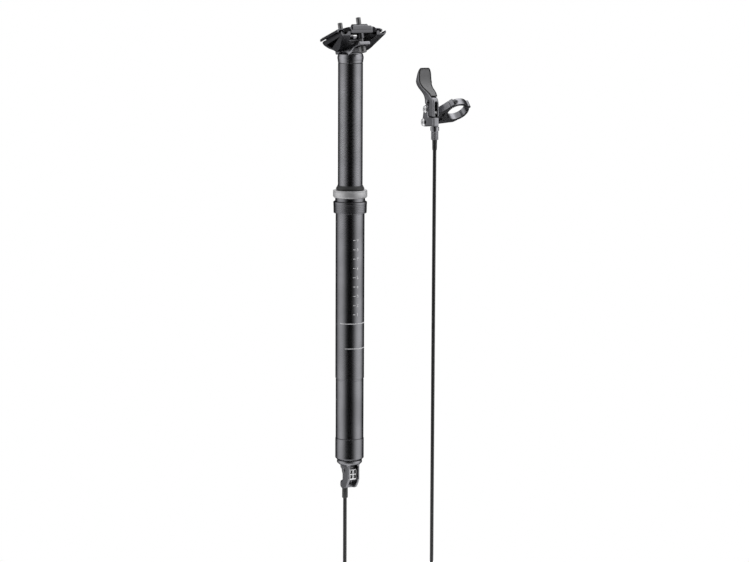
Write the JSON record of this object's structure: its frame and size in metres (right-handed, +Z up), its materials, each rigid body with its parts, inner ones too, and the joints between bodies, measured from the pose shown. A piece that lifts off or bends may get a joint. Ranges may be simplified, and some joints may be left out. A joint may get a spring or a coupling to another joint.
{
  "type": "dropper seatpost",
  "caption": "Telescoping bicycle seatpost with a two-bolt saddle clamp, cable actuator and thumb remote on a shared cable housing.",
  "frame": {"origin": "on the post's axis at the underside of the collar, where the post stops on the frame's seat tube", "axes": "+X to the rider's right, +Y forward on the bicycle, +Z up the post toward the saddle"},
  "size_m": [0.1697, 0.0638, 0.6874],
  "materials": {
    "black_tube": "satin black anodised",
    "black_collar": "satin black anodised",
    "silver_ring": "bright turned",
    "seal_rubber": "smooth",
    "foam": "oiled foam",
    "guide_plastic": "smooth",
    "key_brass": "machined",
    "inner_steel": "ground",
    "gland_black": "black anodised",
    "forged_black": "satin black anodised forging",
    "bolt_steel": "plated",
    "bracket_black": "satin black anodised",
    "cam_silver": "bright machined",
    "wire_steel": "drawn wire",
    "remote_black": "satin black anodised",
    "pad_rubber": "matt grip",
    "silver_bolt": "bright",
    "ferrule_black": "moulded",
    "housing_black": "smooth sheath",
    "tie_black": "moulded strap"
  },
  "bodies": {
    "outer": {"outer_tube": "black_tube", "collar": "black_collar", "seal_housing": "black_collar", "seal_ring": "silver_ring", "wiper_seal": "seal_rubber", "foam_ring": "foam", "upper_bushing": "guide_plastic", "end_cap": "black_tube", "cartridge_body": "inner_steel", "cartridge_gland": "gland_black", "gland_seal": "seal_rubber", "actuator_bracket": "bracket_black", "cam_pin": "bolt_steel", "housing_ferrule": "ferrule_black", "remote_body": "remote_black", "pivot_bolt": "silver_bolt", "pivot_bushing": "key_brass", "mount_bolt": "silver_bolt", "clamp_arm": "remote_black", "clamp_cap": "remote_black", "clamp_bolt": "bolt_steel", "hinge_pin": "bolt_steel", "cable_boot": "ferrule_black", "housing_post_run": "housing_black", "housing_remote_run": "housing_black", "housing_coil": "housing_black", "coil_tie": "tie_black"},
    "upper": {"stanchion": "black_tube", "saddle_head": "forged_black", "lower_bushing": "guide_plastic", "guide_keys": "key_brass", "piston_rod": "inner_steel", "piston": "inner_steel", "piston_seal": "seal_rubber", "rod_anchor": "inner_steel", "anchor_nut": "inner_steel", "snap_ring": "inner_steel"},
    "clamp": {"lower_cradle": "forged_black", "upper_clamp": "forged_black", "barrel_nuts": "forged_black"},
    "front_bolt": {"front_bolt": "bolt_steel", "front_washer": "bolt_steel"},
    "rear_bolt": {"rear_bolt": "bolt_steel", "rear_washer": "bolt_steel"},
    "lever": {"lever": "remote_black", "thumb_pad": "pad_rubber", "pinch_screw": "bolt_steel"},
    "lever_wire": {"lever_wire": "wire_steel"},
    "cam": {"cam_lever": "cam_silver"},
    "cam_wire": {"cam_wire": "wire_steel"},
    "valve": {"valve_pin": "inner_steel"},
    "adjuster": {"barrel_adjuster": "remote_black"}
  },
  "joints": [
    {"name": "post_slide", "type": "slide", "parent": "outer", "child": "upper", "axis": [0, 0, 1], "range_m": [-0.125, 0], "stiffness_N_per_m": 400, "springref_m": 0.5},
    {"name": "saddle_tilt", "type": "hinge", "parent": "upper", "child": "clamp", "pos_m": [0, 0.0008, 0.19233], "axis": [1, 0, 0], "range_deg": [-5, 5]},
    {"name": "front_bolt_feed", "type": "slide", "parent": "clamp", "child": "front_bolt", "axis": [0, 0.2924, 0.9563], "range_m": [-0.0018, 0.0018]},
    {"name": "rear_bolt_feed", "type": "slide", "parent": "clamp", "child": "rear_bolt", "axis": [0, 0.2924, 0.9563], "range_m": [-0.0019, 0.0019]},
    {"name": "lever_press", "type": "hinge", "parent": "outer", "child": "lever", "pos_m": [0.103, 0.014, 0.1058], "axis": [-1, 0, 0], "range_deg": [0, 21], "stiffness_Nm_per_rad": 0.35, "springref_deg": -5.73},
    {"name": "lever_wire_pull", "type": "slide", "parent": "outer", "child": "lever_wire", "axis": [0, 0, 1], "range_m": [0, 0.0053]},
    {"name": "cam_swing", "type": "hinge", "parent": "outer", "child": "cam", "pos_m": [0, 0, -0.2803], "axis": [-1, 0, 0], "range_deg": [0, 29]},
    {"name": "cam_wire_pull", "type": "slide", "parent": "outer", "child": "cam_wire", "axis": [0, 0, -1], "range_m": [0, 0.0053]},
    {"name": "valve_lift", "type": "slide", "parent": "outer", "child": "valve", "axis": [0, 0, 1], "range_m": [0, 0.0015]},
    {"name": "adjuster_turn", "type": "hinge", "parent": "outer", "child": "adjuster", "pos_m": [0.103, 0, 0.0776], "axis": [0, 0, 1], "continuous": true}
  ],
  "couplings": [
    {"joint": "front_bolt_feed", "follows": "saddle_tilt", "m_per_rad": -0.0204},
    {"joint": "rear_bolt_feed", "follows": "saddle_tilt", "m_per_rad": 0.0213},
    {"joint": "lever_wire_pull", "follows": "lever_press", "m_per_rad": 0.014},
    {"joint": "cam_swing", "follows": "lever_press", "ratio": 1.333},
    {"joint": "cam_wire_pull", "follows": "lever_press", "m_per_rad": 0.014},
    {"joint": "valve_lift", "follows": "lever_press", "m_per_rad": 0.00382}
  ]
}
